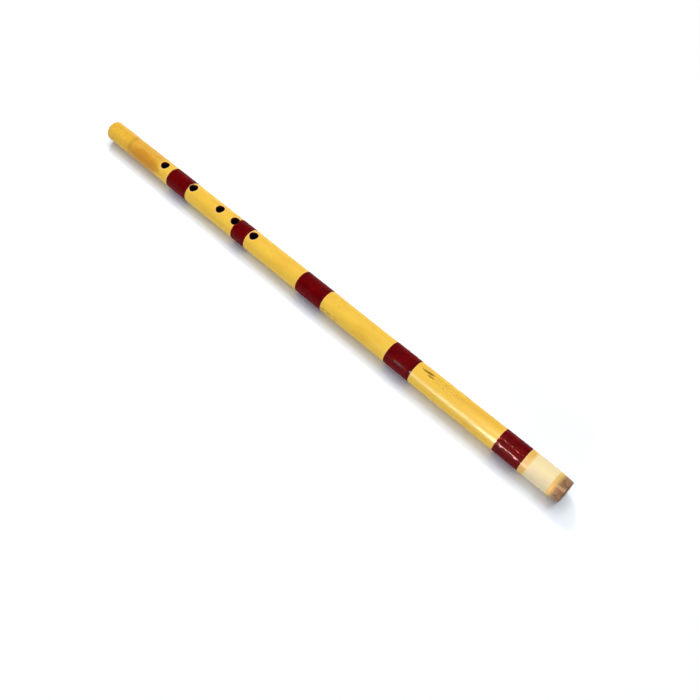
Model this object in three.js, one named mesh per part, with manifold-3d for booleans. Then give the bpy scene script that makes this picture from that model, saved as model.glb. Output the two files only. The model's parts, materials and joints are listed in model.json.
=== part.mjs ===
// Ney: an end-blown cane flute with five lacquered thread bindings and a brass mouthpiece sleeve.
// Millimetres. The flute lies along X on its lowest line, mouth end at +X, finger holes facing +Z.
// Each piece is turned about its local Y axis, which runs from the mouth rim at zero to the foot,
// with local Z towards the finger holes.
import * as THREE from 'three';
import { mergeVertices } from 'three/addons/utils/BufferGeometryUtils.js';
import Module from 'manifold-3d';

const wasm = await Module();
wasm.setup();

// The cane: seven segments between its ends and six nodes, counted from the mouth.
const segment1Length = 56.5;
const segment2Length = 126.8;
const segment3Length = 115.6;
const segment4Length = 103.2;
const segment5Length = 98;
const segment6Length = 81.4;
const segment7Length = 38.5;
const mouthDiameter = 23.8;
const footDiameter = 21.9;
const caneWall = 3.2;

// Each node leaves a low ridge in the bore, where its diaphragm was burnt through.
const ridgeHeight = 0.7;
const ridgeBaseLength = 4;
const ridgeCrestLength = 1.5;

// The last node is left unbound, and shows as a shallow waist.
const waistDepth = 0.3;
const waistLength = 15;

// The foot rim is rounded outside and eased inside.
const footRimRadius = 1.2;
const footBevel = 0.5;

// Finger holes on top and a thumb hole below. Their places are set by the tuning.
const fingerHoleDiameter = 9;
const thumbHoleDiameter = 8.4;
const fingerHolePlaceShares = [0.6234, 0.6689, 0.7061, 0.7746, 0.8508];
const thumbHolePlaceShare = 0.545;

// Brass mouthpiece sleeve: a thin cone over a tenon, with a lip that covers the cane's end.
// Its taper is how much its radius falls from the shoulder, flush with the cane, to the rim.
const sleeveLength = 13;
const sleeveWall = 0.8;
const sleeveTaper = 1;
const sleeveLipThickness = 1.2;
const sleeveRimRadius = 0.5;

// Thread bindings, one over each of the first five nodes, let in flush with the cane.
const binding1Width = 27.5;
const binding2Width = 30.5;
const binding3Width = 34.6;
const binding4Width = 19.5;
const binding5Width = 30.6;
const threadWidth = 1.9;
const threadHeight = 0.7;
const threadPitch = 2.8;
const threadSink = 0.12;
const underlayThickness = 0.7;

// Fits
const fitGap = 0.3;
const flushInset = 0.1;
const holeRelief = 0.3;
const cutOverrun = 2;

// Facets. The cane's count is even, so a flat faces the table and another the finger holes.
const caneFacets = 32;
const holeFacets = 24;
const waistSteps = 6;
const rimSteps = 3;
const windingSteps = 16;
const threadSides = 4;

// Derived sizes
const segmentLengths = [
  segment1Length,
  segment2Length,
  segment3Length,
  segment4Length,
  segment5Length,
  segment6Length,
  segment7Length,
];
const nodePlaces = [];
let lengthSoFar = 0;
for (const segmentLength of segmentLengths) {
  lengthSoFar += segmentLength;
  nodePlaces.push(lengthSoFar);
}
const fluteLength = nodePlaces.pop();
const waistPlace = nodePlaces[nodePlaces.length - 1];
const mouthRadius = mouthDiameter / 2;
const footRadius = footDiameter / 2;
const facetHalfAngle = Math.PI / caneFacets;
const flatShare = Math.cos(facetHalfAngle);

const bindingWidths = [binding1Width, binding2Width, binding3Width, binding4Width, binding5Width];
const bindings = bindingWidths.map((width, index) => makeBinding(width, index));

// Radius of the cane's plain taper at a distance from the mouth rim.
function taperRadius(place) {
  return mouthRadius + (footRadius - mouthRadius) * (place / fluteLength);
}

function boreRadius(place) {
  return taperRadius(place) - caneWall;
}

// Outer radius of the brass sleeve, which meets the cane flush at its shoulder.
function sleeveRadius(place) {
  return taperRadius(sleeveLength) - sleeveTaper * (1 - place / sleeveLength);
}

function tenonRadius(place) {
  return sleeveRadius(place) - sleeveWall - fitGap;
}

// Places and radii of one binding, from its crests in to its seat in the cane.
function makeBinding(width, index) {
  const start = nodePlaces[index] - width / 2;
  const end = start + width;
  const crestRadius = taperRadius(end) * flatShare - flushInset;
  const threadRadius = crestRadius - threadHeight / 2;
  const underlayRadius = threadRadius + threadSink;
  const insideRadius = underlayRadius - underlayThickness;
  return {
    name: `thread_binding_${index + 1}`,
    start,
    end,
    width,
    threadRadius,
    underlayRadius,
    insideRadius,
    seatRadius: insideRadius - fitGap,
  };
}

function point(radius, place) {
  return new THREE.Vector2(radius, place);
}

// A solid ring turned from a closed profile, with a flat facet on top and below.
function turn(profile, facets) {
  const closed = [...profile, profile[0]];
  return new THREE.LatheGeometry(closed, facets, Math.PI / facets, 2 * Math.PI);
}

function toSolid(geometry) {
  const bare = geometry.clone();
  bare.deleteAttribute('normal');
  bare.deleteAttribute('uv');
  const merged = mergeVertices(bare);
  return new wasm.Manifold(new wasm.Mesh({
    numProp: 3,
    vertProperties: merged.attributes.position.array,
    triVerts: Uint32Array.from(merged.index.array),
  }));
}

function toGeometry(solid) {
  const { vertProperties, triVerts } = solid.getMesh();
  const geometry = new THREE.BufferGeometry();
  geometry.setAttribute('position', new THREE.BufferAttribute(vertProperties, 3));
  geometry.setIndex(new THREE.BufferAttribute(triVerts, 1));
  geometry.computeVertexNormals();
  return geometry;
}

// A drill for one hole, from the bore's axis out through the wall: side 1 is up, -1 is down.
function holeCutter(place, diameter, side) {
  const depth = mouthRadius + cutOverrun;
  const cutter = new THREE.CylinderGeometry(diameter / 2, diameter / 2, depth, holeFacets);
  cutter.rotateX(Math.PI / 2);
  cutter.translate(0, place, side * depth / 2);
  return toSolid(cutter);
}

function drillHoles(solid, relief) {
  let drilled = solid;
  for (const share of fingerHolePlaceShares) {
    drilled = drilled.subtract(holeCutter(share * fluteLength, fingerHoleDiameter + 2 * relief, 1));
  }
  const thumbPlace = thumbHolePlaceShare * fluteLength;
  return drilled.subtract(holeCutter(thumbPlace, thumbHoleDiameter + 2 * relief, -1));
}

// Outside of the cane from the tenon to the foot, with a seat under each binding.
function caneOutside() {
  const tenonStart = sleeveLipThickness + fitGap;
  const profile = [point(tenonRadius(tenonStart), tenonStart)];
  profile.push(point(tenonRadius(sleeveLength), sleeveLength + fitGap));
  profile.push(point(taperRadius(sleeveLength + fitGap), sleeveLength + fitGap));
  for (const binding of bindings) {
    const seatStart = binding.start - fitGap;
    const seatEnd = binding.end + fitGap;
    profile.push(point(taperRadius(seatStart), seatStart));
    profile.push(point(binding.seatRadius, seatStart));
    profile.push(point(binding.seatRadius, seatEnd));
    profile.push(point(taperRadius(seatEnd), seatEnd));
  }
  for (let step = 0; step <= waistSteps; step += 1) {
    const swing = 2 * step / waistSteps - 1;
    const place = waistPlace + swing * waistLength / 2;
    const dip = waistDepth * (1 + Math.cos(swing * Math.PI)) / 2;
    profile.push(point(taperRadius(place) - dip, place));
  }
  for (let step = 0; step <= rimSteps; step += 1) {
    const angle = (Math.PI / 2) * (step / rimSteps);
    const place = fluteLength - footRimRadius * (1 - Math.sin(angle));
    profile.push(point(footRadius - footRimRadius * (1 - Math.cos(angle)), place));
  }
  return profile;
}

// Bore of the cane from the foot back to the tenon's end, with the ridges of the six nodes.
function caneBore() {
  const profile = [point(boreRadius(fluteLength) + footBevel, fluteLength)];
  profile.push(point(boreRadius(fluteLength), fluteLength - footBevel));
  for (const nodePlace of [...nodePlaces].reverse()) {
    const crestRadius = boreRadius(nodePlace) - ridgeHeight;
    profile.push(point(boreRadius(nodePlace), nodePlace + ridgeBaseLength / 2));
    profile.push(point(crestRadius, nodePlace + ridgeCrestLength / 2));
    profile.push(point(crestRadius, nodePlace - ridgeCrestLength / 2));
    profile.push(point(boreRadius(nodePlace), nodePlace - ridgeBaseLength / 2));
  }
  profile.push(point(boreRadius(0), sleeveLipThickness + fitGap));
  return profile;
}

function caneGeometry() {
  const tube = turn([...caneOutside(), ...caneBore()], caneFacets);
  return toGeometry(drillHoles(toSolid(tube), 0));
}

// Sleeve profile: outside from the shoulder to the rounded rim, then the lip and the socket.
function sleeveGeometry() {
  const lipRadius = boreRadius(0);
  const profile = [];
  profile.push(point(lipRadius, sleeveLipThickness));
  profile.push(point(lipRadius, sleeveRimRadius));
  profile.push(point(lipRadius + sleeveRimRadius, 0));
  for (let step = 0; step <= rimSteps; step += 1) {
    const angle = (Math.PI / 2) * (step / rimSteps);
    const place = sleeveRimRadius * (1 - Math.cos(angle));
    profile.push(point(sleeveRadius(place) - sleeveRimRadius * (1 - Math.sin(angle)), place));
  }
  profile.push(point(sleeveRadius(sleeveLength), sleeveLength));
  profile.push(point(sleeveRadius(sleeveLength) - sleeveWall, sleeveLength));
  profile.push(point(sleeveRadius(sleeveLipThickness) - sleeveWall, sleeveLipThickness));
  return turn(profile, caneFacets);
}

// Centre line of one winding: whole loops from edge to edge, then a straight end each way.
function windingPath(binding) {
  const run = binding.width - threadWidth;
  const loops = Math.floor(run / threadPitch);
  const steps = loops * windingSteps;
  const stations = [];
  for (let step = 0; step <= steps; step += 1) {
    const angle = (step + 0.5) * 2 * Math.PI / windingSteps;
    stations.push({ angle, along: 0, place: binding.start + threadWidth / 2 + run * (step / steps) });
  }
  const first = stations[0];
  const last = stations[steps];
  stations.unshift({ ...first, along: -threadWidth });
  stations.push({ ...last, along: threadWidth });
  return { stations, loops };
}

// Points of the thread's section at one station, flat across the cane's radius.
function sectionPoints(station, radius) {
  const outward = new THREE.Vector3(Math.sin(station.angle), 0, Math.cos(station.angle));
  const forward = new THREE.Vector3(Math.cos(station.angle), 0, -Math.sin(station.angle));
  const sideways = new THREE.Vector3(0, 1, 0);
  const corners = [];
  for (let side = 0; side < threadSides; side += 1) {
    const turned = side * 2 * Math.PI / threadSides;
    const corner = outward.clone().multiplyScalar(radius + Math.sin(turned) * threadHeight / 2);
    corner.addScaledVector(sideways, station.place + Math.cos(turned) * threadWidth / 2);
    corners.push(corner.addScaledVector(forward, station.along));
  }
  return corners;
}

// One unbroken tube through the sections of a winding, closed by a flat cap at each end.
function tubeGeometry(rings) {
  const positions = rings.flat().flatMap((corner) => [corner.x, corner.y, corner.z]);
  const triangles = [];
  for (let ring = 0; ring < rings.length - 1; ring += 1) {
    for (let side = 0; side < threadSides; side += 1) {
      const next = (side + 1) % threadSides;
      const a = ring * threadSides + side;
      const b = ring * threadSides + next;
      triangles.push(a, b, a + threadSides);
      triangles.push(b, b + threadSides, a + threadSides);
    }
  }
  const lastRing = (rings.length - 1) * threadSides;
  for (let side = 1; side < threadSides - 1; side += 1) {
    triangles.push(0, side + 1, side);
    triangles.push(lastRing, lastRing + side, lastRing + side + 1);
  }
  const geometry = new THREE.BufferGeometry();
  geometry.setAttribute('position', new THREE.Float32BufferAttribute(positions, 3));
  geometry.setIndex(triangles);
  return geometry;
}

// Least distance between the points of one loop and those of the next.
function leastGap(rings) {
  let least = Infinity;
  for (let ring = 0; ring + windingSteps < rings.length; ring += 1) {
    for (const here of rings[ring]) {
      for (const there of rings[ring + windingSteps]) {
        least = Math.min(least, here.distanceTo(there));
      }
    }
  }
  return least;
}

// A thread binding: one winding over a plain underlay, cut back where a hole meets it.
function bindingGeometry(binding) {
  const { stations, loops } = windingPath(binding);
  const rings = stations.map((station) => sectionPoints(station, binding.threadRadius));
  const gap = leastGap(rings).toFixed(2);
  console.log(`${binding.name}: ${loops} loops, least gap between loops ${gap} mm`);
  const outside = turn([
    point(binding.insideRadius / 2, binding.start),
    point(binding.underlayRadius, binding.start),
    point(binding.underlayRadius, binding.end),
    point(binding.insideRadius / 2, binding.end),
  ], windingSteps);
  const inside = new THREE.CylinderGeometry(
    binding.insideRadius,
    binding.insideRadius,
    binding.width + 2 * cutOverrun,
    caneFacets,
    1,
    false,
    facetHalfAngle,
  );
  inside.translate(0, (binding.start + binding.end) / 2, 0);
  const wound = toSolid(outside).add(toSolid(tubeGeometry(rings))).subtract(toSolid(inside));
  return toGeometry(drillHoles(wound, holeRelief));
}

function caneMaterial() {
  return new THREE.MeshStandardMaterial({ color: 0xf0c04a, roughness: 0.38, metalness: 0 });
}

function threadMaterial() {
  return new THREE.MeshStandardMaterial({ color: 0x6a070c, roughness: 0.22, metalness: 0 });
}

function brassMaterial() {
  return new THREE.MeshStandardMaterial({ color: 0xb98a4e, roughness: 0.3, metalness: 1 });
}

function namedMesh(name, geometry, material) {
  const mesh = new THREE.Mesh(geometry, material);
  mesh.name = name;
  return mesh;
}

// The pieces on their common axis, laid along X with the mouth at +X.
function assembleFlute() {
  const pieces = new THREE.Group();
  pieces.add(namedMesh('cane_tube', caneGeometry(), caneMaterial()));
  pieces.add(namedMesh('mouthpiece_sleeve', sleeveGeometry(), brassMaterial()));
  for (const binding of bindings) {
    pieces.add(namedMesh(binding.name, bindingGeometry(binding), threadMaterial()));
  }
  pieces.rotation.z = Math.PI / 2;
  pieces.position.set(fluteLength / 2, 0, taperRadius(fluteLength / 2) * flatShare);
  return pieces;
}

// The taper tips the flute so that its lowest flat lies level on the table.
const flute = new THREE.Group();
flute.add(assembleFlute());
flute.rotation.y = -Math.atan((mouthRadius - footRadius) * flatShare / fluteLength);

export default flute;
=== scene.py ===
# A ney of golden cane with lacquered thread bindings and a brass mouthpiece sleeve, dressed around
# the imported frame. Metres. Places are distances from the mouth rim along the flute's axis, and
# angles turn about that axis from the finger holes at zero towards the far side, +Y.
import json
import math

import bmesh
import bpy
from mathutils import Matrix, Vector, noise


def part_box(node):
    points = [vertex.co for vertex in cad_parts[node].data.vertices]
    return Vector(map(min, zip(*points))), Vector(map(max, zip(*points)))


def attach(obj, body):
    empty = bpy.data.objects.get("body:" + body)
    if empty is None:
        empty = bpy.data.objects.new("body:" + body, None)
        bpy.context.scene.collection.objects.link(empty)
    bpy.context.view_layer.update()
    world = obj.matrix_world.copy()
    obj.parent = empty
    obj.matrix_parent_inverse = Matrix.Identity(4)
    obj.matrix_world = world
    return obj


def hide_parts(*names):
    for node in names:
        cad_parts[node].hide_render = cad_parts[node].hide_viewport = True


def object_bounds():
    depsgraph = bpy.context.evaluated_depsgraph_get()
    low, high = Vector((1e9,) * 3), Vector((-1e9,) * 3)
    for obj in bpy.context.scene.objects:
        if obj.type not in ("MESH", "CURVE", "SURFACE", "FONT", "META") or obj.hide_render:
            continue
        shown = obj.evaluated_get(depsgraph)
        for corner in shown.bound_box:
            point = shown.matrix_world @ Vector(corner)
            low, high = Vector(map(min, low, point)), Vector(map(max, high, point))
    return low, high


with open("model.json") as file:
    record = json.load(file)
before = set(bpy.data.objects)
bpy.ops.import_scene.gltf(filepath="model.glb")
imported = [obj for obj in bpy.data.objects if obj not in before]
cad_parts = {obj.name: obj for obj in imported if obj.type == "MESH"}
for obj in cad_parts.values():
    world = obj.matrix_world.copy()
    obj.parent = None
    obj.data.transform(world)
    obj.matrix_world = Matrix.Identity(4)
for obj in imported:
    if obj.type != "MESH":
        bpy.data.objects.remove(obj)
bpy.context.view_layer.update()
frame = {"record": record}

MM = 0.001
FULL_TURN = 2 * math.pi
QUARTER_TURN = math.pi / 2

# The flute's driving sizes
FLUTE_LENGTH = 620 * MM
MOUTH_RADIUS = 11.9 * MM
FOOT_RADIUS = 10.95 * MM
CANE_WALL = 3.2 * MM
BARE_NODE_PLACE = 581.5 * MM
BINDING_COUNT = 5
FINGER_HOLE_COUNT = 5
FINGER_HOLE_RADIUS = 4.5 * MM
THUMB_HOLE_RADIUS = 4.2 * MM

# The solid's cane has flats, and lies on one. A round piece that lies on the same table has the
# radius of its flats.
CANE_FLATS = 32
FLAT_SHARE = math.cos(math.pi / CANE_FLATS)
MIDDLE_HEIGHT = (MOUTH_RADIUS + FOOT_RADIUS) / 2 * FLAT_SHARE
TAPER_SLOPE = (MOUTH_RADIUS - FOOT_RADIUS) * FLAT_SHARE / FLUTE_LENGTH
TILT = math.atan(TAPER_SLOPE)

# Cane: how uneven it has grown, its bare node, its foot rim and the ridges in its bore
OVAL_DEPTH = 0.07 * MM
GROWTH_DEPTH = 0.12 * MM
GROWTH_LENGTH = 45 * MM
WAIST_DEPTH = 0.3 * MM
WAIST_REACH = 5.5 * MM
SCAR_HEIGHT = 0.14 * MM
SCAR_REACH = 0.8 * MM
FOOT_RIM_RADIUS = 1.2 * MM
FOOT_BEVEL = 0.5 * MM
RIDGE_HEIGHT = 0.7 * MM
RIDGE_REACH = 1.3 * MM
RIDGE_RAGGEDNESS = 0.25
RIDGE_LOBES = 3

# Sleeve
SLEEVE_LENGTH = 13 * MM
SLEEVE_TAPER = 1 * MM
SLEEVE_WALL = 0.8 * MM
SLEEVE_LIP = 1.2 * MM
SLEEVE_RIM_RADIUS = 0.5 * MM
SHOULDER_RADIUS = 0.25 * MM
TENON_GAP = 0.3 * MM

# Places at which the cane's skin and bore start and end
SHOULDER_PLACE = SLEEVE_LENGTH + TENON_GAP / 10
FOOT_RIM_PLACE = FLUTE_LENGTH - FOOT_RIM_RADIUS
BORE_START = SLEEVE_LIP + TENON_GAP
BORE_END = FLUTE_LENGTH - FOOT_BEVEL

# Holes: a rounded rim, a wall down to the bore, and the square window of cells each one fills. A
# window's points start at its corner nearest the mouth, on the side of the smaller angles.
HOLE_RIM_RADIUS = 0.35 * MM
HOLE_FOOT_RADIUS = 0.2 * MM
HOLE_WOBBLE = 0.1 * MM
HOLE_NOISE_STEP = 7.3
WINDOW_REACH = 6.2 * MM
WINDOW_CORNER = math.radians(225)

# Bindings: fine thread under lumpy lacquer
THREAD_PITCH = 0.62 * MM
THREAD_RELIEF = 0.018 * MM
LACQUER_HEIGHT = 0.09 * MM
LACQUER_LUMPS = 0.15 * MM
LUMP_LENGTH = 2.4 * MM
LUMP_WIDTH = 5 * MM
FINE_LUMP_SHARE = 0.4
FINE_LUMP_SCALE = 2.3
BINDING_EDGE = 0.45 * MM
BINDING_DEPTH = 0.25 * MM
EDGE_RING_SHARES = (0.15, 0.45)

# Gaps between a hole's rim and the binding that is cut back around it, by the binding's number.
# For binding 5, gaps of 0.45 and 0.48 mm left a sliver in the cut mesh.
NOTCH_GAPS = {4: 0.15 * MM, 5: 0.5 * MM}
NOTCH_BOTTOM = MOUTH_RADIUS / 2
NOTCH_TOP = MOUTH_RADIUS * 1.3
TWIN_REACH = 0.001 * MM

# Cells: how many go around, how long they are, and how many go to each form
CANE_COLUMNS = 128
BINDING_COLUMNS = 160
SLEEVE_COLUMNS = 160
NOTCH_COLUMNS = 96
SKIN_STEP = 2.5 * MM
WAIST_STEP = 0.4 * MM
BORE_STEP = 5 * MM
RIDGE_STEP = 0.5 * MM
SLEEVE_STEP = 0.8 * MM
FINE_REACHES = 3
WINDOW_COLUMNS = 24
WINDOW_ROWS = 24
BORE_WINDOW_COLUMNS = 32
BORE_WINDOW_ROWS = 16
WINDOW_RINGS = 3
RIM_STEPS = 5
WALL_STEPS = 5
THREAD_STEPS = 4
STEP_ROUNDING = 1e-6
SHARP_ANGLE = math.radians(38)


# Places

def place_of(x):
    return FLUTE_LENGTH / 2 - x


def x_of(place):
    return FLUTE_LENGTH / 2 - place


def binding_span(number):
    low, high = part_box(f"thread_binding_{number}")
    return place_of(high.x), place_of(low.x)


def opening_place(name):
    for opening in frame["record"]["physics"]["openings"]:
        if opening["name"] == name:
            low, high = opening["box_m"]
            return place_of((low[0] + high[0]) / 2)
    raise KeyError(name)


BINDINGS = [binding_span(number + 1) for number in range(BINDING_COUNT)]
NODE_PLACES = [(start + end) / 2 for start, end in BINDINGS] + [BARE_NODE_PLACE]
FINGER_HOLES = [opening_place(f"finger_hole_{number + 1}") for number in range(FINGER_HOLE_COUNT)]
THUMB_HOLE = opening_place("thumb_hole")


# Shape of the flute

def taper_radius(place):
    share = place / FLUTE_LENGTH
    return (MOUTH_RADIUS + (FOOT_RADIUS - MOUTH_RADIUS) * share) * FLAT_SHARE


def bell(offset, reach):
    return math.exp(-((offset / reach) ** 2))


def cane_radius(place, angle):
    """Outside of the cane: its taper, less its unevenness and the dip at its bare node."""
    oval = OVAL_DEPTH * (1 + math.cos(2 * angle + place / GROWTH_LENGTH)) / 2
    spot = Vector((place / GROWTH_LENGTH, math.cos(angle), math.sin(angle)))
    grown = GROWTH_DEPTH * (1 + noise.noise(spot)) / 2
    offset = place - BARE_NODE_PLACE
    dip = WAIST_DEPTH * bell(offset, WAIST_REACH)
    scar = SCAR_HEIGHT * bell(offset - SCAR_REACH * math.sin(angle), SCAR_REACH)
    return taper_radius(place) - oval - grown - dip + scar


def bore_radius(place, angle):
    """Bore of the cane, with what is left of each node's diaphragm."""
    ridge = 0
    for node_place in NODE_PLACES:
        ridge += RIDGE_HEIGHT * bell(place - node_place, RIDGE_REACH)
    around = (RIDGE_LOBES * math.cos(angle), RIDGE_LOBES * math.sin(angle))
    ragged = 1 + RIDGE_RAGGEDNESS * noise.noise(Vector((place / RIDGE_REACH, *around)))
    return taper_radius(place) - CANE_WALL - ridge * ragged


def to_world(place, side, height):
    """A point given by its place, its distance to the +Y side and its height over the axis."""
    along = x_of(place)
    up = height + MIDDLE_HEIGHT
    x = along * math.cos(TILT) - up * math.sin(TILT)
    z = along * math.sin(TILT) + up * math.cos(TILT)
    return Vector((x, side, z))


def on_radius(place, angle, radius):
    return to_world(place, radius * math.sin(angle), radius * math.cos(angle))


def even_angles(count):
    """Angles once around, in a number of even steps."""
    return [FULL_TURN * step / count for step in range(count)]


def quarter_angles(count, first=1):
    """Angles up to a quarter turn in a number of even steps, from the first step asked for."""
    return [QUARTER_TURN * step / count for step in range(first, count + 1)]


def spread(start, end, step):
    """Places from start up to end, not included, in equal steps no longer than the given one."""
    count = max(1, math.ceil((end - start) / step - STEP_ROUNDING))
    return [start + (end - start) * index / count for index in range(count)]


class Shell:
    """Points and faces of one piece, and the rings of points that its faces join."""

    def __init__(self):
        self.points = []
        self.faces = []

    def point(self, position):
        self.points.append(position)
        return len(self.points) - 1

    def ring(self, positions):
        return [self.point(position) for position in positions]

    def hoop(self, place, angles, radius_at):
        """A ring around the axis, with the radius that radius_at gives at each angle."""
        return self.ring([on_radius(place, angle, radius_at(angle)) for angle in angles])

    def join(self, ring_a, ring_b, closed=True):
        count = len(ring_a)
        for index in range(count if closed else count - 1):
            after = (index + 1) % count
            self.faces.append((ring_a[index], ring_a[after], ring_b[after], ring_b[index]))

    def join_all(self, rings):
        for ring_a, ring_b in zip(rings, rings[1:]):
            self.join(ring_a, ring_b)

    def piece(self, name, material):
        mesh = bpy.data.meshes.new(name)
        mesh.from_pydata(self.points, [], self.faces)
        shaped = bmesh.new()
        shaped.from_mesh(mesh)
        bmesh.ops.recalc_face_normals(shaped, faces=shaped.faces)
        for face in shaped.faces:
            face.smooth = True
        for edge in shaped.edges:
            edge.smooth = len(edge.link_faces) == 2 and edge.calc_face_angle() < SHARP_ANGLE
        shaped.to_mesh(mesh)
        shaped.free()
        mesh.materials.append(material)
        made = bpy.data.objects.new(name, mesh)
        bpy.context.collection.objects.link(made)
        return made


class Hole:
    """One drilled hole: where it is, and the rings of points around it."""

    def __init__(self, number, place, angle, radius):
        self.number = number
        self.place = place
        self.angle = angle
        self.radius = radius
        self.count = 2 * (WINDOW_COLUMNS + WINDOW_ROWS)
        self.column = round(angle / FULL_TURN * CANE_COLUMNS)

    def turned(self, index):
        return WINDOW_CORNER - FULL_TURN * index / self.count

    def circle(self, radius, height_of):
        """Points of a circle around the hole, at the height that height_of gives."""
        return [self.at(index, radius, height_of) for index in range(self.count)]

    def at(self, index, radius, height_of):
        turned = self.turned(index)
        spot = Vector((math.cos(turned), math.sin(turned), self.number * HOLE_NOISE_STEP))
        reach = radius + HOLE_WOBBLE * noise.noise(spot)
        return self.lay(reach * math.cos(turned), reach * math.sin(turned), height_of)

    def lay(self, along, aside, height_of):
        """A point by its distance along and aside of the hole's middle."""
        place = self.place + along
        height = height_of(place, aside)
        side = aside * math.cos(self.angle) + height * math.sin(self.angle)
        up = height * math.cos(self.angle) - aside * math.sin(self.angle)
        return to_world(place, side, up)

    def flat_spot(self, position):
        """The distance along and aside of the hole's middle at which a point of a grid lies."""
        return place_of(position.x) - self.place, position.y * math.cos(self.angle)

    def skin(self, place, aside):
        """Height of the cane's outside over the axis, at a distance aside of the hole's middle."""
        base = taper_radius(place)
        angle = self.angle + math.asin(aside / base)
        return math.sqrt(cane_radius(place, angle) ** 2 - aside ** 2)

    def bottom(self, place, aside):
        """Height of the bore over the axis, at a distance aside of the hole's middle."""
        base = taper_radius(place) - CANE_WALL
        angle = self.angle + math.asin(max(-1, min(1, aside / base)))
        return math.sqrt(max(0, bore_radius(place, angle) ** 2 - aside ** 2))


def holes():
    made = [Hole(index, place, 0, FINGER_HOLE_RADIUS) for index, place in enumerate(FINGER_HOLES)]
    made.append(Hole(len(made), THUMB_HOLE, math.pi, THUMB_HOLE_RADIUS))
    return made


# Cane

def rows_between(start, end, windows, window_rows, step, fine):
    """Places of a grid's rows: even cells in each window, fine ones where asked, else the step."""
    stretches = [(low, high, (high - low) / window_rows) for low, high in windows]
    stretches += fine
    stretches.sort()
    rows = []
    here = start
    for low, high, size in stretches:
        rows += spread(here, low, step)
        rows += spread(low, high, size)
        here = high
    return rows + spread(here, end, step) + [end]


def lay_grid(shell, rows, radius_at, windows, window_columns):
    """A tube of cells with a window left open around each hole. Returns its rings of points."""
    angles = even_angles(CANE_COLUMNS)
    rings = []
    for place in rows:
        rings.append(shell.hoop(place, angles, lambda angle: radius_at(place, angle)))
    reach = window_columns // 2
    for row in range(len(rows) - 1):
        near, far = rings[row], rings[row + 1]
        middle = (rows[row] + rows[row + 1]) / 2
        left_open = set()
        for hole, low, high in windows:
            if low < middle < high:
                for column in range(hole.column - reach, hole.column + reach):
                    left_open.add(column % CANE_COLUMNS)
        for column in range(CANE_COLUMNS):
            if column not in left_open:
                after = (column + 1) % CANE_COLUMNS
                shell.faces.append((near[column], near[after], far[after], far[column]))
    return rings


def window_edge(rings, rows, hole, low, window_columns, window_rows):
    """The points around a window, in the order in which its hole counts them."""
    first = min(range(len(rows)), key=lambda row: abs(rows[row] - low))
    last = first + window_rows
    left = hole.column - window_columns // 2
    right = hole.column + window_columns // 2
    edge = [rings[first][column % CANE_COLUMNS] for column in range(left, right)]
    edge += [rings[row][right % CANE_COLUMNS] for row in range(first, last)]
    edge += [rings[last][column % CANE_COLUMNS] for column in range(right, left, -1)]
    edge += [rings[row][left % CANE_COLUMNS] for row in range(last, first, -1)]
    return edge


def bridge_window(shell, hole, edge, circle_radius, height_of):
    """Rings of points from a window's edge in to a circle around the hole."""
    outer = edge
    flats = [hole.flat_spot(shell.points[index]) for index in edge]
    for step in range(1, WINDOW_RINGS):
        share = step / WINDOW_RINGS
        positions = []
        for index, (along, aside) in enumerate(flats):
            turned = hole.turned(index)
            goal_along = circle_radius * math.cos(turned)
            goal_aside = circle_radius * math.sin(turned)
            positions.append(hole.lay(
                along + (goal_along - along) * share,
                aside + (goal_aside - aside) * share,
                height_of,
            ))
        inner = shell.ring(positions)
        shell.join(outer, inner)
        outer = inner
    inner = shell.ring(hole.circle(circle_radius, height_of))
    shell.join(outer, inner)
    return inner


def drill(shell, hole, skin_edge, bore_edge):
    """The rounded rim, wall and foot of one hole, joined to the grids outside and inside."""
    rings = [bridge_window(shell, hole, skin_edge, hole.radius + HOLE_RIM_RADIUS, hole.skin)]
    foot = bridge_window(shell, hole, bore_edge, hole.radius + HOLE_FOOT_RADIUS, hole.bottom)
    for turned in quarter_angles(RIM_STEPS):
        reach = hole.radius + HOLE_RIM_RADIUS * (1 - math.sin(turned))
        sunk = HOLE_RIM_RADIUS * (1 - math.cos(turned))

        def round_off(place, aside):
            return hole.skin(place, aside) - sunk

        rings.append(shell.ring(hole.circle(reach, round_off)))
        shell.join(*rings[-2:])
    for step in range(1, WALL_STEPS + 1):
        share = step / WALL_STEPS

        def go_down(place, aside):
            top = hole.skin(place, aside) - HOLE_RIM_RADIUS
            return top + (hole.bottom(place, aside) + HOLE_FOOT_RADIUS - top) * share

        rings.append(shell.ring(hole.circle(hole.radius, go_down)))
        shell.join(*rings[-2:])
    shell.join(rings[-1], foot)


def close_foot(shell, skin_ring, bore_ring):
    """The rounded rim and the end face of the foot, from the skin to the eased bore."""
    angles = even_angles(CANE_COLUMNS)
    last = skin_ring
    for turned in quarter_angles(RIM_STEPS):
        place = FOOT_RIM_PLACE + FOOT_RIM_RADIUS * math.sin(turned)
        sunk = FOOT_RIM_RADIUS * (1 - math.cos(turned))
        after = shell.hoop(place, angles, lambda angle: cane_radius(FOOT_RIM_PLACE, angle) - sunk)
        shell.join(last, after)
        last = after
    face = shell.hoop(
        FLUTE_LENGTH, angles, lambda angle: bore_radius(FLUTE_LENGTH, angle) + FOOT_BEVEL
    )
    shell.join(last, face)
    shell.join(face, bore_ring)


def close_tenon(shell, skin_ring, bore_ring):
    """The shoulder behind the sleeve and the tenon inside it."""
    angles = even_angles(CANE_COLUMNS)
    start_radius = taper_radius(SLEEVE_LENGTH) - SLEEVE_WALL - TENON_GAP
    end_radius = start_radius - SLEEVE_TAPER
    start = shell.hoop(SHOULDER_PLACE, angles, lambda angle: start_radius)
    shell.join(skin_ring, start)
    end = shell.hoop(BORE_START, angles, lambda angle: end_radius)
    shell.join(start, end)
    shell.join(end, bore_ring)


def fine_stretch(place, reach, step):
    return (place - FINE_REACHES * reach, place + FINE_REACHES * reach, step)


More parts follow.
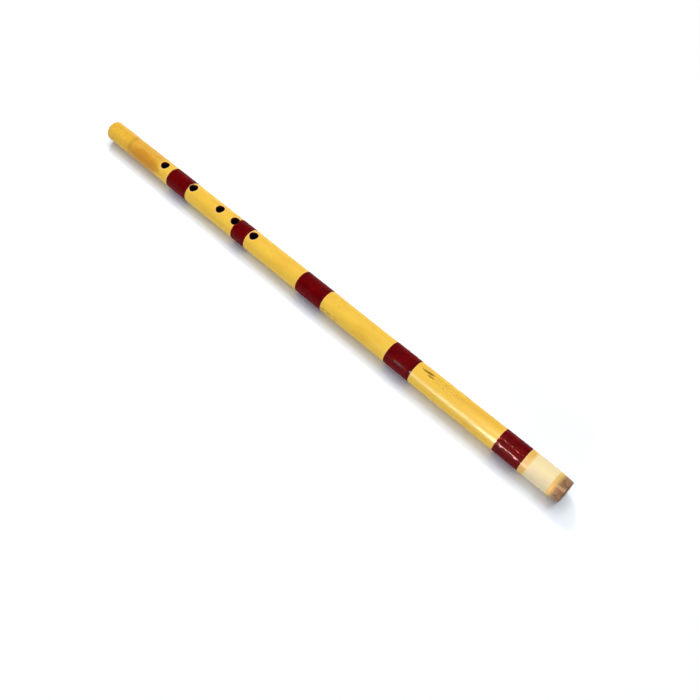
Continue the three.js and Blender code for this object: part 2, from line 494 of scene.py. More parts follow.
def cane_tube(material):
    """The whole cane: skin, foot rim, bore, tenon and the drilled holes."""
    shell = Shell()
    windows = [(hole, hole.place - WINDOW_REACH, hole.place + WINDOW_REACH) for hole in holes()]
    spans = [(low, high) for _, low, high in windows]

    waist = [fine_stretch(BARE_NODE_PLACE, WAIST_REACH, WAIST_STEP)]
    skin_rows = rows_between(SHOULDER_PLACE, FOOT_RIM_PLACE, spans, WINDOW_ROWS, SKIN_STEP, waist)
    skin = lay_grid(shell, skin_rows, cane_radius, windows, WINDOW_COLUMNS)

    ridges = [fine_stretch(place, RIDGE_REACH, RIDGE_STEP) for place in NODE_PLACES]
    bore_rows = rows_between(BORE_START, BORE_END, spans, BORE_WINDOW_ROWS, BORE_STEP, ridges)
    bore = lay_grid(shell, bore_rows, bore_radius, windows, BORE_WINDOW_COLUMNS)

    for hole, low, _ in windows:
        drill(
            shell,
            hole,
            window_edge(skin, skin_rows, hole, low, WINDOW_COLUMNS, WINDOW_ROWS),
            window_edge(bore, bore_rows, hole, low, BORE_WINDOW_COLUMNS, BORE_WINDOW_ROWS),
        )
    close_foot(shell, skin[-1], bore[-1])
    close_tenon(shell, skin[0], bore[0])
    return shell.piece("cane_body", material)


# Sleeve

def mouthpiece_sleeve(material):
    """The brass sleeve, turned from its profile: outside, rounded rim, lip, socket and shoulder."""
    shoulder_radius = taper_radius(SLEEVE_LENGTH)
    rim_radius = shoulder_radius - SLEEVE_TAPER
    lip_radius = taper_radius(0) - CANE_WALL

    def outside(place):
        return shoulder_radius - SLEEVE_TAPER * (1 - place / SLEEVE_LENGTH)

    profile = []
    for turned in reversed(quarter_angles(RIM_STEPS, 0)):
        place = SLEEVE_LENGTH - SHOULDER_RADIUS * (1 - math.sin(turned))
        profile.append((outside(place) - SHOULDER_RADIUS * (1 - math.cos(turned)), place))
    side = spread(SLEEVE_RIM_RADIUS, SLEEVE_LENGTH - SHOULDER_RADIUS, SLEEVE_STEP)[1:]
    for place in reversed(side):
        profile.append((outside(place), place))
    for turned in quarter_angles(RIM_STEPS, 0):
        place = SLEEVE_RIM_RADIUS * (1 - math.sin(turned))
        profile.append((rim_radius - SLEEVE_RIM_RADIUS * (1 - math.cos(turned)), place))
    for turned in quarter_angles(RIM_STEPS, 0):
        reach = lip_radius + SLEEVE_RIM_RADIUS * (1 - math.sin(turned))
        profile.append((reach, SLEEVE_RIM_RADIUS * (1 - math.cos(turned))))
    profile.append((lip_radius, SLEEVE_LIP))
    profile.append((outside(SLEEVE_LIP) - SLEEVE_WALL, SLEEVE_LIP))
    profile.append((outside(SLEEVE_LENGTH) - SLEEVE_WALL, SLEEVE_LENGTH))

    shell = Shell()
    angles = even_angles(SLEEVE_COLUMNS)
    rings = [shell.hoop(place, angles, lambda angle: radius) for radius, place in profile]
    shell.join_all(rings + rings[:1])
    return shell.piece("brass_sleeve", material)


# Bindings

def lumps(place, angle):
    """Height of the uneven lacquer, brushed on around the binding."""
    around = taper_radius(place) / LUMP_WIDTH
    spot = Vector((place / LUMP_LENGTH, around * math.cos(angle), around * math.sin(angle)))
    fine = FINE_LUMP_SHARE * noise.noise(spot * FINE_LUMP_SCALE)
    return LACQUER_LUMPS * (noise.noise(spot) + fine)


def binding_piece(number, start, end, material):
    """One thread, wound side by side from edge to edge as one helix, under its lacquer."""
    shell = Shell()
    angles = even_angles(BINDING_COLUMNS)
    last_column = BINDING_COLUMNS - 1
    turns = math.floor((end - start - 2 * BINDING_EDGE) / THREAD_PITCH) - 1
    margin = (end - start - (turns + 1) * THREAD_PITCH) / 2
    row_count = turns * THREAD_STEPS

    def height(place, angle, share):
        """Height over the taper, at a share of the way across the thread."""
        rise = min(1, (place - start) / BINDING_EDGE, (end - place) / BINDING_EDGE)
        swell = math.sqrt(max(0, 1 - (1 - rise) ** 2))
        thread = THREAD_RELIEF * (1 - math.cos(FULL_TURN * share)) / 2
        return (LACQUER_HEIGHT + lumps(place, angle)) * swell + thread

    def edge_rings(edge, inward):
        """The band's edge: its foot in the seat, its lip and the rise to the first thread."""
        base = taper_radius(edge)
        rings = [
            shell.hoop(edge, angles, lambda angle: base - BINDING_DEPTH),
            shell.hoop(edge, angles, lambda angle: base),
        ]
        for share in EDGE_RING_SHARES:
            place = edge + inward * share * margin
            rings.append(shell.hoop(
                place, angles, lambda angle: taper_radius(place) + height(place, angle, 0)
            ))
        shell.join_all(rings)
        return rings

    # Rows run along the helix, so a row ends one pitch beyond the place where it starts, and meets
    # the row that is one turn later.
    rows = []
    for row in range(row_count + 1):
        positions = []
        for column, angle in enumerate(angles):
            turned = row / THREAD_STEPS + column / BINDING_COLUMNS
            place = start + margin + THREAD_PITCH * turned
            radius = taper_radius(place) + height(place, angle, row / THREAD_STEPS)
            positions.append(on_radius(place, angle, radius))
        rows.append(shell.ring(positions))
    for row in range(row_count):
        shell.join(rows[row], rows[row + 1], closed=False)
        if row + 1 + THREAD_STEPS <= row_count:
            shell.faces.append((
                rows[row][last_column],
                rows[row + THREAD_STEPS][0],
                rows[row + 1 + THREAD_STEPS][0],
                rows[row + 1][last_column],
            ))

    first = edge_rings(start, 1)
    final = edge_rings(end, -1)
    shell.join(first[-1], rows[0], closed=False)
    shell.faces.append((
        first[-1][last_column],
        first[-1][0],
        *[rows[row][0] for row in range(THREAD_STEPS + 1)],
        rows[0][last_column],
    ))
    shell.join(rows[-1], final[-1], closed=False)
    shell.faces.append((
        rows[row_count - THREAD_STEPS][last_column],
        rows[-1][0],
        final[-1][0],
        final[-1][last_column],
        *[rows[row][last_column] for row in range(row_count, row_count - THREAD_STEPS, -1)],
    ))
    shell.join(first[0], final[0])

    made = shell.piece(f"binding_{number}", material)
    if number in NOTCH_GAPS:
        reach = FINGER_HOLE_RADIUS + HOLE_RIM_RADIUS + NOTCH_GAPS[number]
        for hole_place in FINGER_HOLES:
            if start < hole_place + reach and hole_place - reach < end:
                notch(made, hole_place, reach)
    return made


def notch(piece, hole_place, radius):
    """Cuts a binding back around a finger hole at its edge."""
    cutter = Shell()
    rings = []
    for height in (NOTCH_BOTTOM, NOTCH_TOP):
        rings.append(cutter.ring([
            to_world(hole_place + radius * math.cos(angle), radius * math.sin(angle), height)
            for angle in even_angles(NOTCH_COLUMNS)
        ]))
    cutter.join(*rings)
    cutter.faces += [tuple(ring) for ring in rings]
    tool = cutter.piece("notch_cutter", piece.data.materials[0])
    cut_away(piece, tool)


def cut_away(piece, tool):
    """Cuts the tool out of a piece for good, merges the twin points that this leaves, and
    removes the tool."""
    cut = piece.modifiers.new("notch", "BOOLEAN")
    cut.operation = "DIFFERENCE"
    cut.solver = "EXACT"
    cut.object = tool
    depsgraph = bpy.context.evaluated_depsgraph_get()
    shaped = bpy.data.meshes.new_from_object(piece.evaluated_get(depsgraph))
    merged = bmesh.new()
    merged.from_mesh(shaped)
    bmesh.ops.remove_doubles(merged, verts=merged.verts, dist=TWIN_REACH)
    merged.to_mesh(shaped)
    merged.free()
    piece.modifiers.clear()
    uncut, tool_mesh = piece.data, tool.data
    piece.data = shaped
    bpy.data.objects.remove(tool)
    bpy.data.meshes.remove(uncut)
    bpy.data.meshes.remove(tool_mesh)


# Colours and looks

def srgb(red, green, blue):
    """A colour written as the screen shows it, in the linear values that shaders take."""
    def linear(value):
        share = value / 255
        return share / 12.92 if share <= 0.04045 else ((share + 0.055) / 1.055) ** 2.4
    return (linear(red), linear(green), linear(blue), 1.0)


# Cane: its own gold, the foot, the mouth end, the marks, and where it is cut or burnt
GOLDEN = srgb(253, 206, 74)
DEEP_GOLD = srgb(244, 190, 66)
ORANGE = srgb(228, 166, 54)
END_GOLD = srgb(240, 188, 58)
AMBER = srgb(236, 178, 72)
DEEP_AMBER = srgb(224, 160, 56)
FOOT_BROWN = srgb(210, 138, 36)
SCAR_BROWN = srgb(200, 146, 48)
CREAM = srgb(255, 234, 178)
PINK_CREAM = srgb(250, 222, 180)
CREAM_FIBRE = srgb(240, 206, 140)
RING_ORANGE = srgb(240, 188, 108)
PALE = srgb(252, 210, 142)
FRECKLE_BROWN = srgb(140, 84, 26)
STREAK_BROWN = srgb(124, 72, 22)
# Painted shade: dark olive along the lower edge next to binding 3
SHADE_OLIVE = srgb(168, 130, 44)
SAWN = srgb(232, 196, 122)
DARK_SAWN = srgb(206, 166, 96)
SMOKED = srgb(104, 66, 38)
BURNT = srgb(104, 36, 24)

# Thread
MAROON = srgb(120, 4, 6)
DEEP_MAROON = srgb(98, 2, 9)
DARK_STRAND = srgb(72, 1, 4)

# Brass
GOLD = srgb(252, 210, 120)
BROWN_BRASS = srgb(178, 133, 92)
DARK_BRASS = srgb(142, 104, 71)
# Painted highlight: the colour of the bright strip along the sleeve's front
HIGHLIGHT_BRASS = srgb(228, 182, 136)
# Painted shade: the darkened rim at the mouth
SHADED_RIM_BRASS = srgb(132, 100, 78)

# Grains of noise: cells per metre along and across, detail, roughness and shift
GRAIN_MIDDLE = 0.5
CANE_FIBRES = ((14, 900, 900), 3.0, 0.6)
CANE_CLOUDS = ((22, 90, 90), 3.0, 0.55)
CANE_MOTTLE = ((160, 330, 330), 3.0, 0.6, 3.1)
CANE_RUFFLE = ((220, 500, 500), 3.0, 0.6, 5.7)
CANE_FRECKLES = ((800, 1500, 1500), 2.0, 0.6)
THREAD_CLOUDS = ((120, 160, 160), 3.0, 0.5)
THREAD_STRANDS = ((1700, 60, 60), 2.0, 0.5)
BRASS_PATINA = ((260, 300, 300), 4.0, 0.6)
BRASS_SCRATCHES = ((60, 2600, 2600), 2.0, 0.6)

# Levels of a grain between which a tint comes in, and its least and full share where these aren't
# zero and one
DEEP_IN_CLOUDS = (0.42, 0.72, 0.0, 0.8)
DEEP_IN_FIBRES = (0.3, 0.75, 0.0, 0.5)
ORANGE_IN_MOTTLE = (0.56, 0.78, 0.0, 0.5)
ORANGE_AT_END = (0.4, 0.7)
DEEP_IN_AMBER = (0.35, 0.7)
SCAR_IN_CLOUDS = (0.35, 0.6, 0.25, 0.6)
PINK_IN_CREAM = (0.45, 0.65)
FIBRES_IN_CREAM = (0.5, 0.85, 0.0, 0.35)
FRECKLE_LEVELS = (0.54, 0.68)
LOWER_EDGE_SHADE_LEVELS = (0.4, 0.62, 0.1, 0.6)
DARK_IN_SAWN = (0.35, 0.65)
DEEP_IN_THREAD = (0.35, 0.7)
DARK_IN_STRANDS = (0.4, 0.7, 0.0, 0.5)
DARK_IN_PATINA = (0.4, 0.65)

# Roughness at two levels of a grain
CANE_POLISH = (0.3, 0.7, 0.38, 0.46)
BRASS_POLISH = (0.3, 0.75, 0.5, 0.6)
SCRAPED_ROUGHNESS = 0.65

# Stretches of the cane from one place to another, and how soft their ends are
END_STRETCH = (576 * MM, 588 * MM)
AMBER_STRETCH = (533 * MM, 583 * MM, 10 * MM)
SCAR_STRETCH = (579.5 * MM, 584 * MM, 4 * MM)
SCRAPED_STRETCH = (12 * MM, 36.5 * MM, 4 * MM)
# Where cream also comes in, at a lesser share, over the orange ring on its -Y side: places, and y
FRONT_CREAM_STRETCH = (30 * MM, 43 * MM, 2 * MM)
FRONT_CREAM_SIDE = (-9 * MM, -2.5 * MM, 5 * MM)
RING_STRETCH = (37 * MM, 43 * MM, 2 * MM)
PALE_EDGE_REACH = 0.7 * MM
PALE_EDGE_SOFTNESS = 0.6 * MM

# Spots on the cane: place, way around from the finger holes, length and width
FOOT_STAIN = (556 * MM, -11 * MM, 50 * MM, 18 * MM)
# Painted shade along the lower edge next to binding 3
LOWER_EDGE_SHADE = (270 * MM, -17.5 * MM, 30 * MM, 7 * MM)
FRECKLED_SPOT = (132 * MM, 1.2 * MM, 50 * MM, 8 * MM)
STREAK = (154.5 * MM, 2.5 * MM, 12 * MM, 2.6 * MM)
SHORT_STREAK = (151.5 * MM, -0.2 * MM, 7 * MM, 1.8 * MM)
STREAK_LEAN = 0.1
SPOT_RUFFLE = 3.0
SPOT_EDGE = (0.3, 1.6)

# Full shares of the tints on these stretches and spots
END_SHARE = 0.7
AMBER_SHARE = 0.75
FOOT_STAIN_SHARE = 0.85
FRONT_CREAM_SHARE = 0.5
RING_SHARE = 0.6
PALE_EDGE_SHARE = 0.5
FRECKLE_SHARE = 0.65
SHORT_STREAK_SHARE = 0.7
STREAK_SHARE = 0.8
# Painted highlight: the pale rim round each hole
RIM_HIGHLIGHT_SHARE = 0.75

# Distances from a hole's axis at which its rim is paled as painted highlight and its wall is
# burnt, depths at which the foot's end face is sawn and the bore smoked, and the x at which that
# face begins and ends
RIM_HIGHLIGHT = (FINGER_HOLE_RADIUS + 0.6 * MM, FINGER_HOLE_RADIUS + 1.3 * MM)
BURNT_WALL = (FINGER_HOLE_RADIUS + 0.25 * MM, FINGER_HOLE_RADIUS + 0.45 * MM)
SAWN_DEPTH = (0.5 * MM, 1.3 * MM)
SMOKED_DEPTH = (2.5 * MM, 3 * MM)
SAWN_FACE = (0.15 * MM - FLUTE_LENGTH / 2, 0.6 * MM - FLUTE_LENGTH / 2)

# Sleeve: where it turns brown, where its rim is darkened as painted shade, and the wavy bright
# strip along the front, towards -Y, that is a painted highlight
BROWN_START = (11.6 * MM, 6 * MM)
SHADED_RIM = (1.1 * MM, 0.3 * MM)
HIGHLIGHT_STRIP = (-6.6 * MM, -4.2 * MM, 2 * MM)
HIGHLIGHT_STRIP_WAVE = 5 * MM
HIGHLIGHT_STRIP_SHARE = 0.8

# Bumps: strength and depth
CANE_BUMP = (0.25, 0.06 * MM)
THREAD_BUMP = (0.4, 0.04 * MM)
BRASS_BUMP = (0.15, 0.02 * MM)
FIBRE_BUMP_SHARE = 0.6
MOTTLE_BUMP_SHARE = 0.4


# Materials

class Nodes:
    """One material's nodes, with short names for the kinds that are used often."""

    def __init__(self, name):
        self.material = bpy.data.materials.new(name)
        self.material.use_nodes = True
        self.tree = self.material.node_tree

    def add(self, kind, settings=None, **inputs):
        made = self.tree.nodes.new(kind)
        for key, value in (settings or {}).items():
            setattr(made, key, value)
        for name, value in inputs.items():
            self.feed(made.inputs[name.replace("_", " ")], value)
        return made

    def feed(self, socket, value):
        if isinstance(value, bpy.types.NodeSocket):
            self.tree.links.new(value, socket)
        else:
            socket.default_value = value

    def feed_in_order(self, node, values):
        for socket, value in zip(node.inputs, values):
            self.feed(socket, value)

    def math(self, operation, *values):
        made = self.add("ShaderNodeMath", {"operation": operation})
        self.feed_in_order(made, values)
        return made.outputs[0]

    def times(self, first, second):
        return self.math("MULTIPLY", first, second)

    def ease(self, value, low, high, to_low=0.0, to_high=1.0):
        """Goes smoothly from to_low to to_high as the value goes from low to high."""
        return self.add(
            "ShaderNodeMapRange",
            {"interpolation_type": "SMOOTHSTEP"},
            Value=value,
            From_Min=low,
            From_Max=high,
            To_Min=to_low,
            To_Max=to_high,
        ).outputs["Result"]

    def fade(self, value, low, high, full=1.0):
        """Falls smoothly from full to zero as the value goes from low to high."""
        return self.ease(value, low, high, full, 0.0)

    def between(self, value, low, high, soft):
        """One between low and high, falling smoothly to zero within soft on each side."""
        rise = self.ease(value, low - soft / 2, low + soft / 2)
        return self.times(rise, self.fade(value, high - soft / 2, high + soft / 2))

    def mix(self, share, first, second):
        made = self.add("ShaderNodeMix", {"data_type": "RGBA"})
        self.feed(made.inputs[0], share)
        self.feed(made.inputs[6], first)
        self.feed(made.inputs[7], second)
        return made.outputs[2]

    def tint(self, colour, where, share, tint):
        """Mixes a tint into the colour, with the given share where the tint is full."""
        return self.mix(self.times(where, share), colour, tint)


class Surface(Nodes):
    """Nodes of a piece's material: its shader, and each point's place on the flute."""

    def __init__(self, name):
        super().__init__(name)
        self.shader = self.tree.nodes["Principled BSDF"]
        self.position = self.add("ShaderNodeTexCoord").outputs["Object"]
        parts = self.add("ShaderNodeSeparateXYZ", Vector=self.position)
        self.x, self.y, self.z = parts.outputs[:3]
        axis = self.math("ADD", self.times(self.x, math.tan(TILT)), MIDDLE_HEIGHT)
        self.up = self.math("SUBTRACT", self.z, axis)
        self.arc = self.times(self.math("ARCTAN2", self.y, self.up), MOUTH_RADIUS)

    def set(self, **inputs):
        for name, value in inputs.items():
            self.feed(self.shader.inputs[name.replace("_", " ")], value)

    def stretch(self, start, end, soft):
        """One from one place to another along the flute."""
        return self.between(self.x, x_of(end), x_of(start), soft)

    def grain(self, cells, detail, roughness, shift=0.0):
        mapped = self.add(
            "ShaderNodeMapping", Vector=self.position, Location=(shift, shift, shift), Scale=cells
        )
        return self.add(
            "ShaderNodeTexNoise",
            Vector=mapped.outputs[0],
            Scale=1.0,
            Detail=detail,
            Roughness=roughness,
        ).outputs[0]

    def bump(self, height, strength, depth):
        made = self.add("ShaderNodeBump", Height=height, Strength=strength, Distance=depth)
        return made.outputs["Normal"]

    def spot(self, place, arc, length, width, ruffle, lean=0.0):
        """A patch with ruffled edges at a place and a way around from the finger holes, to +Y."""
        beside = self.math("SUBTRACT", self.x, x_of(place))
        along = self.math("DIVIDE", beside, length / 2)
        middle = self.math("ADD", self.times(beside, lean), arc)
        across = self.math("DIVIDE", self.math("SUBTRACT", self.arc, middle), width / 2)
        square = self.math("ADD", self.times(along, along), self.times(across, across))
        ruffled = self.times(self.math("SUBTRACT", ruffle, GRAIN_MIDDLE), SPOT_RUFFLE)
        return self.fade(self.math("ADD", square, ruffled), *SPOT_EDGE)

    def distance_to_holes(self):
        """Distance from the axis of the nearest finger hole above, or the thumb hole below."""
        def squared(place):
            offset = self.math("SUBTRACT", self.x, x_of(place))
            return self.times(offset, offset)
        nearest = squared(FINGER_HOLES[0])
        for place in FINGER_HOLES[1:]:
            nearest = self.math("MINIMUM", nearest, squared(place))
        upper = self.math("GREATER_THAN", self.z, MIDDLE_HEIGHT)
        lower = self.math("SUBTRACT", 1.0, upper)
        along = self.math(
            "ADD", self.times(nearest, upper), self.times(squared(THUMB_HOLE), lower)
        )
        return self.math("SQRT", self.math("ADD", along, self.times(self.y, self.y)))

    def depth(self):
        """How deep a point lies under the cane's plain taper."""
        square = self.math("ADD", self.times(self.up, self.up), self.times(self.y, self.y))
        taper = self.math("ADD", self.times(self.x, TAPER_SLOPE), MIDDLE_HEIGHT)
        return self.math("SUBTRACT", taper, self.math("SQRT", square))


class CaneSurface(Surface):
    """The cane's nodes: its grains, and its colour layer by layer."""

    def __init__(self):
        super().__init__("golden_cane")
        self.fibres = self.grain(*CANE_FIBRES)
        self.clouds = self.grain(*CANE_CLOUDS)
        self.mottle = self.grain(*CANE_MOTTLE)
        self.ruffle = self.grain(*CANE_RUFFLE)
        # Cream also comes in, at a lesser share, over the orange ring on its -Y side.
        front_patch = self.times(self.between(self.y, *FRONT_CREAM_SIDE), self.stretch(*FRONT_CREAM_STRETCH))
        self.scraped = self.math(
            "MAXIMUM", self.stretch(*SCRAPED_STRETCH), self.times(front_patch, FRONT_CREAM_SHARE)
        )

    def grown(self):
        colour = self.mix(self.ease(self.clouds, *DEEP_IN_CLOUDS), GOLDEN, DEEP_GOLD)
        colour = self.mix(self.ease(self.fibres, *DEEP_IN_FIBRES), colour, DEEP_GOLD)
        return self.mix(self.ease(self.mottle, *ORANGE_IN_MOTTLE), colour, ORANGE)

    def with_foot(self, colour):
        """The segment at the foot, the stretch before it with its stain, and the bare node."""
        start, full = END_STRETCH
        end = self.fade(self.x, x_of(full), x_of(start))
        end_colour = self.mix(self.ease(self.mottle, *ORANGE_AT_END), END_GOLD, ORANGE)
        colour = self.tint(colour, end, END_SHARE, end_colour)
        amber = self.mix(self.ease(self.mottle, *DEEP_IN_AMBER), AMBER, DEEP_AMBER)
        colour = self.tint(colour, self.stretch(*AMBER_STRETCH), AMBER_SHARE, amber)
        stain_and_shade = self.spot(*FOOT_STAIN, self.mottle)
        colour = self.tint(colour, stain_and_shade, FOOT_STAIN_SHARE, FOOT_BROWN)
        scar = self.stretch(*SCAR_STRETCH)
        return self.tint(colour, scar, self.ease(self.clouds, *SCAR_IN_CLOUDS), SCAR_BROWN)

    def with_mouth_end(self, colour):
        """The part that is scraped down to cream, and the orange ring behind it."""
        cream = self.mix(self.ease(self.clouds, *PINK_IN_CREAM), CREAM, PINK_CREAM)
        cream = self.mix(self.ease(self.fibres, *FIBRES_IN_CREAM), cream, CREAM_FIBRE)
        colour = self.mix(self.scraped, colour, cream)
        return self.tint(colour, self.stretch(*RING_STRETCH), RING_SHARE, RING_ORANGE)

    def with_pale_edges(self, colour):
        """A paler line beside each edge of a binding."""
        for start, end in BINDINGS:
            low = x_of(end) - PALE_EDGE_REACH
            high = x_of(start) + PALE_EDGE_REACH
            edge = self.between(self.x, low, high, PALE_EDGE_SOFTNESS)
            colour = self.tint(colour, edge, PALE_EDGE_SHARE, PALE)
        return colour

    def with_marks(self, colour):
        """Two streaks among freckles next to binding 2, and painted shade in dark olive along the
        lower edge next to binding 3.
        """
        streak = self.spot(*STREAK, self.ruffle, STREAK_LEAN)
        short_streak = self.spot(*SHORT_STREAK, self.ruffle, STREAK_LEAN)
        freckled = self.spot(*FRECKLED_SPOT, self.ruffle)
        grain = self.ease(self.grain(*CANE_FRECKLES), *FRECKLE_LEVELS)
        colour = self.tint(colour, self.times(freckled, grain), FRECKLE_SHARE, FRECKLE_BROWN)
        colour = self.tint(colour, short_streak, SHORT_STREAK_SHARE, FRECKLE_BROWN)
        colour = self.tint(colour, streak, STREAK_SHARE, STREAK_BROWN)
        # Painted shade in dark olive along the lower edge next to binding 3.
        stain_and_shade = self.spot(*LOWER_EDGE_SHADE, self.mottle)
        return self.tint(colour, stain_and_shade, self.ease(self.ruffle, *LOWER_EDGE_SHADE_LEVELS), SHADE_OLIVE)

    def with_cuts(self, colour):
        """Pale rims round the holes as painted highlight, burnt walls of the holes, the sawn foot
        face and the smoked bore.
        """
        distance = self.distance_to_holes()
        depth = self.depth()
        # A pale rim round each hole is painted highlight.
        colour = self.mix(self.fade(distance, *RIM_HIGHLIGHT, RIM_HIGHLIGHT_SHARE), colour, PALE)
        sawn = self.times(self.fade(self.x, *SAWN_FACE), self.ease(depth, *SAWN_DEPTH))
        sawn_colour = self.mix(self.ease(self.ruffle, *DARK_IN_SAWN), SAWN, DARK_SAWN)
        colour = self.mix(sawn, colour, sawn_colour)
        colour = self.mix(self.ease(depth, *SMOKED_DEPTH), colour, SMOKED)
        return self.mix(self.fade(distance, *BURNT_WALL), colour, BURNT)


def cane_material():
    s = CaneSurface()
    colour = s.grown()
    colour = s.with_foot(colour)
    colour = s.with_mouth_end(colour)
    colour = s.with_pale_edges(colour)
    colour = s.with_marks(colour)
    colour = s.with_cuts(colour)
    height = s.math(
        "ADD", s.times(s.fibres, FIBRE_BUMP_SHARE), s.times(s.mottle, MOTTLE_BUMP_SHARE)
    )
    polish = s.ease(s.clouds, *CANE_POLISH)
    s.set(
        Base_Color=colour,
        Roughness=s.math("MAXIMUM", polish, s.times(s.scraped, SCRAPED_ROUGHNESS)),
        IOR=1.45,
        Specular_IOR_Level=0.2,
        Normal=s.bump(height, *CANE_BUMP),
    )
    return s.material


def thread_material():
    s = Surface("lacquered_thread")
    clouds = s.grain(*THREAD_CLOUDS)
    strands = s.grain(*THREAD_STRANDS)
    colour = s.mix(s.ease(clouds, *DEEP_IN_THREAD), MAROON, DEEP_MAROON)
    s.set(
        Base_Color=s.mix(s.ease(strands, *DARK_IN_STRANDS), colour, DARK_STRAND),
        Roughness=0.5,
        Specular_IOR_Level=0.02,
        Coat_Weight=0.09,
        Coat_Roughness=0.08,
        Coat_IOR=1.4,
        Normal=s.bump(strands, *THREAD_BUMP),
    )
    return s.material


def brass_material():
    """Brass that is gold behind and browned by hands towards the mouth, with a wavy bright strip
    along the front that is a painted highlight, and a rim darkened as painted shade.
    """
    s = Surface("worn_brass")
    patina = s.grain(*BRASS_PATINA)
    scratches = s.grain(*BRASS_SCRATCHES)
    # The wavy bright strip along the front, towards -Y, is a painted highlight.
    wave = s.times(s.math("SUBTRACT", patina, GRAIN_MIDDLE), HIGHLIGHT_STRIP_WAVE)
    front_patch = s.between(s.math("ADD", s.arc, wave), *HIGHLIGHT_STRIP)
    brown = s.mix(s.ease(patina, *DARK_IN_PATINA), BROWN_BRASS, DARK_BRASS)
    brown = s.tint(brown, front_patch, HIGHLIGHT_STRIP_SHARE, HIGHLIGHT_BRASS)
    colour = s.mix(s.ease(s.x, *[x_of(place) for place in BROWN_START]), GOLD, brown)
    # The rim at the mouth is darkened as painted shade.
    s.set(
        Base_Color=s.mix(s.ease(s.x, *[x_of(place) for place in SHADED_RIM]), colour, SHADED_RIM_BRASS),
        Metallic=0.3,
        Roughness=s.ease(patina, *BRASS_POLISH),
        Normal=s.bump(scratches, *BRASS_BUMP),
    )
    return s.material


# Studio

WHITE = (1, 1, 1)
FLOOR_GREY = (0.3, 0.3, 0.3, 1.0)
FLOOR_WHITE = (1.12, 1.17, 1.21, 1.0)
NEAR_FLOOR = 0.36
FAR_FLOOR = 0.6
FLOOR_RINGS = (0.02, 0.5, 1.0, 1.7)
BACKDROP_RADIUS = 2.8
BACKDROP_HEIGHT = 1.2
BACKDROP_STEPS = 12
FLOOR_COLUMNS = 96
WORLD_LEVEL = 0.05

CAMERA_AZIMUTH = 43.86
CAMERA_ELEVATION = 59.15
CAMERA_PLACE = (0.3347, -0.2878, 0.6218)
CAMERA_LENS = 39.09
CAMERA_SENSOR = 36

# Lamps: name, place, target, size, watts, spread in degrees and colour. The first light the flute
# and the floor and aren't seen in gloss. The second are seen in gloss alone.
ALL_AROUND = 180
FLUTE_MIDDLE = (0, 0, 0)
COOL = (0.93, 1.0, 1.18)
PINK = (1.0, 0.45, 0.4)
LIGHTS = (
    ("key", (-1.69, 1.455, 2.0), FLUTE_MIDDLE, (0.3, 0.3), 22, ALL_AROUND, WHITE),
    ("soft_key", (0, 0.9, 1.7), FLUTE_MIDDLE, (2.0, 1.0), 17, ALL_AROUND, WHITE),
    ("overhead", (0, 0.45, 1.9), (0, 0.45, 0), (2.0, 1.7), 15.9, ALL_AROUND, WHITE),
    ("low_front", (0.1, -2.05, 0.46), FLUTE_MIDDLE, (1.6, 0.45), 25.4, ALL_AROUND, COOL),
)
GLOSSES = (
    ("side_gloss", (0.115, -0.381, 0.194), (0.195, -0.008, 0.02), (0.13, 0.06), 0.07, 16, WHITE),
    ("band_gloss", (0.201, -0.381, 0.194), (0.246, -0.008, 0.02), (0.04, 0.06), 0.075, 14, PINK),
    ("top_gloss", (0.198, -0.066, 0.468), (0.237, -0.004, 0.023), (0.05, 0.046), 0.027, 12, PINK),
    ("far_gloss", (-0.1, 1.3, 0.9), FLUTE_MIDDLE, (2.6, 1.2), 2.0, ALL_AROUND, WHITE),
)


def floor_material():
    """A floor that is white where it is seen, also in gloss, and plain grey to the light itself."""
    n = Nodes("pale_floor")
    n.tree.nodes.clear()
    rays = n.add("ShaderNodeLightPath").outputs
    seen = n.math("MAXIMUM", rays["Is Camera Ray"], rays["Is Glossy Ray"])
    seen = n.math("MAXIMUM", seen, rays["Is Transmission Ray"])
    diffuse = n.add("ShaderNodeBsdfDiffuse", Color=n.mix(seen, FLOOR_GREY, FLOOR_WHITE))
    glow = n.add("ShaderNodeEmission", Color=(*WHITE, 1), Strength=1.0)
    position = n.add("ShaderNodeNewGeometry").outputs["Position"]
    distance = n.add("ShaderNodeVectorMath", {"operation": "LENGTH"}, Vector=position)
    far = n.ease(distance.outputs["Value"], NEAR_FLOOR, FAR_FLOOR)
    shader = n.add("ShaderNodeMixShader")
    n.feed_in_order(shader, (n.times(seen, far), diffuse.outputs[0], glow.outputs[0]))
    n.add("ShaderNodeOutputMaterial", Surface=shader.outputs[0])
    return n.material


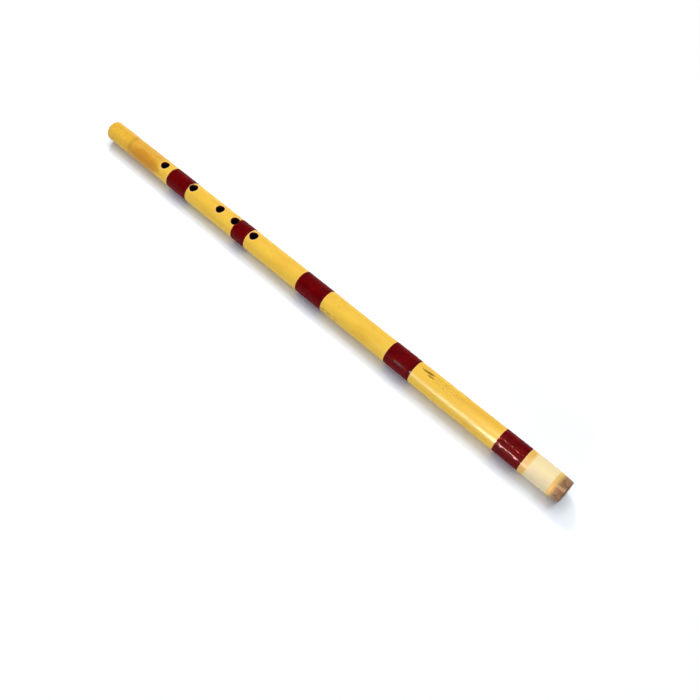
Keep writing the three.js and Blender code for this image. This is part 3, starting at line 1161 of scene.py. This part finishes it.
def studio_floor(lowest):
    """A flat round floor that curves up into a pale backdrop all round."""
    edge = FLOOR_RINGS[-1]
    profile = [(reach, lowest) for reach in FLOOR_RINGS]
    for turned in quarter_angles(BACKDROP_STEPS):
        reach = edge + (BACKDROP_RADIUS - edge) * math.sin(turned)
        profile.append((reach, lowest + BACKDROP_HEIGHT * (1 - math.cos(turned))))
    shell = Shell()
    rings = []
    for reach, height in profile:
        rings.append(shell.ring([
            Vector((reach * math.cos(angle), reach * math.sin(angle), height))
            for angle in even_angles(FLOOR_COLUMNS)
        ]))
    shell.join_all(rings)
    shell.faces.append(tuple(rings[0]))
    return shell.piece("studio_floor", floor_material())


def area_lamp(name, place, target, size, power, spread, colour):
    lamp = bpy.data.lights.new(name, "AREA")
    lamp.color = colour
    lamp.shape = "RECTANGLE"
    lamp.size, lamp.size_y = size
    lamp.energy = power
    lamp.spread = math.radians(spread)
    made = bpy.data.objects.new(name, lamp)
    made.location = place
    made.rotation_euler = (Vector(target) - Vector(place)).to_track_quat("-Z", "Y").to_euler()
    made.visible_camera = False
    bpy.context.collection.objects.link(made)
    return made


def light_studio():
    world = bpy.data.worlds.new("studio")
    world.use_nodes = True
    background = world.node_tree.nodes["Background"].inputs
    background["Color"].default_value = (*WHITE, 1)
    background["Strength"].default_value = WORLD_LEVEL
    bpy.context.scene.world = world
    for lamp in LIGHTS:
        area_lamp(*lamp).visible_glossy = False
    for lamp in GLOSSES:
        area_lamp(*lamp).visible_diffuse = False


def place_camera():
    camera = bpy.data.cameras.new("camera")
    camera.lens = CAMERA_LENS
    camera.sensor_width = CAMERA_SENSOR
    camera.sensor_fit = "HORIZONTAL"
    made = bpy.data.objects.new("camera", camera)
    made.location = CAMERA_PLACE
    made.rotation_euler = (
        math.radians(90 - CAMERA_ELEVATION), 0, math.radians(CAMERA_AZIMUTH)
    )
    bpy.context.collection.objects.link(made)
    bpy.context.scene.camera = made


def dress(piece, node):
    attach(piece, "root")
    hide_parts(node)


bpy.context.scene.view_settings.view_transform = "Standard"
place_camera()

dress(cane_tube(cane_material()), "cane_tube")
dress(mouthpiece_sleeve(brass_material()), "mouthpiece_sleeve")
lacquered = thread_material()
for number, (start, end) in enumerate(BINDINGS, 1):
    binding = binding_piece(number, start, end, lacquered)
    dress(binding, f"thread_binding_{number}")

light_studio()
floor = studio_floor(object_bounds()[0].z)
